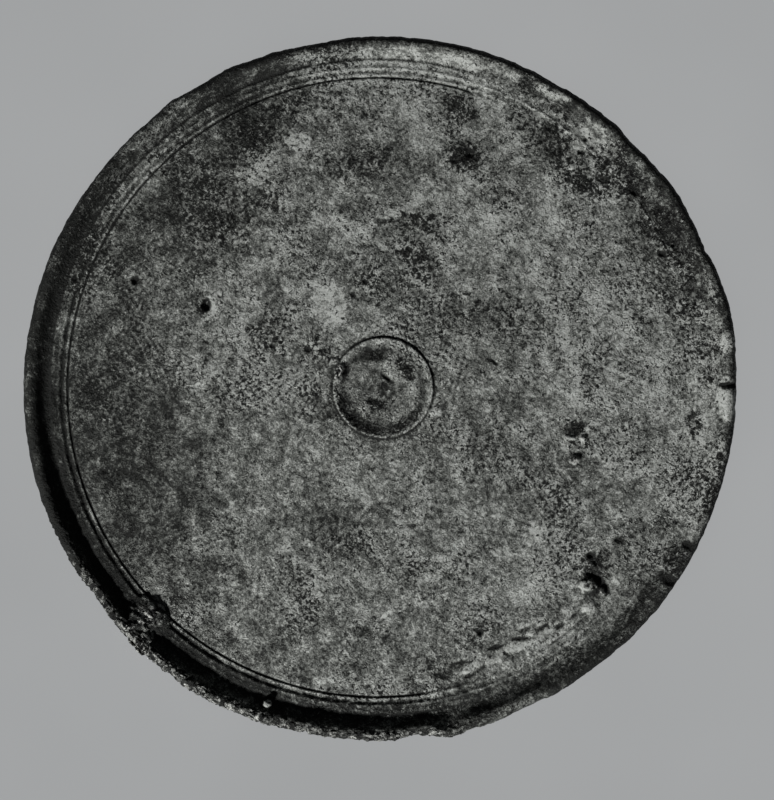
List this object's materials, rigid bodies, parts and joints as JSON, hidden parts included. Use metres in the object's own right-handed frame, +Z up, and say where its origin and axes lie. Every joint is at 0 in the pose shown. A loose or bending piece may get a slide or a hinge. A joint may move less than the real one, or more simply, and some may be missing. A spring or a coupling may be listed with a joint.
{
  "type": "bronze mirror",
  "caption": "Round cast bronze mirror lying face down, its turned back up: raised rim with a hollow inner wall, ring mouldings, plain field and a small central roundel, all corroded.",
  "frame": {"origin": "middle of the underside's bounding box, on the flat underside that the mirror rests on", "axes": "+Z up, out of the turned back; +X and +Y across the disc, the accretion on the rim lying towards -X -Y"},
  "size_m": [0.171, 0.1692, 0.0066],
  "materials": {
    "bronze": "matte corroded patina, dark grey-green with pale mineral crust"
  },
  "bodies": {
    "root": {"mirror_disc": "bronze"}
  },
  "joints": []
}
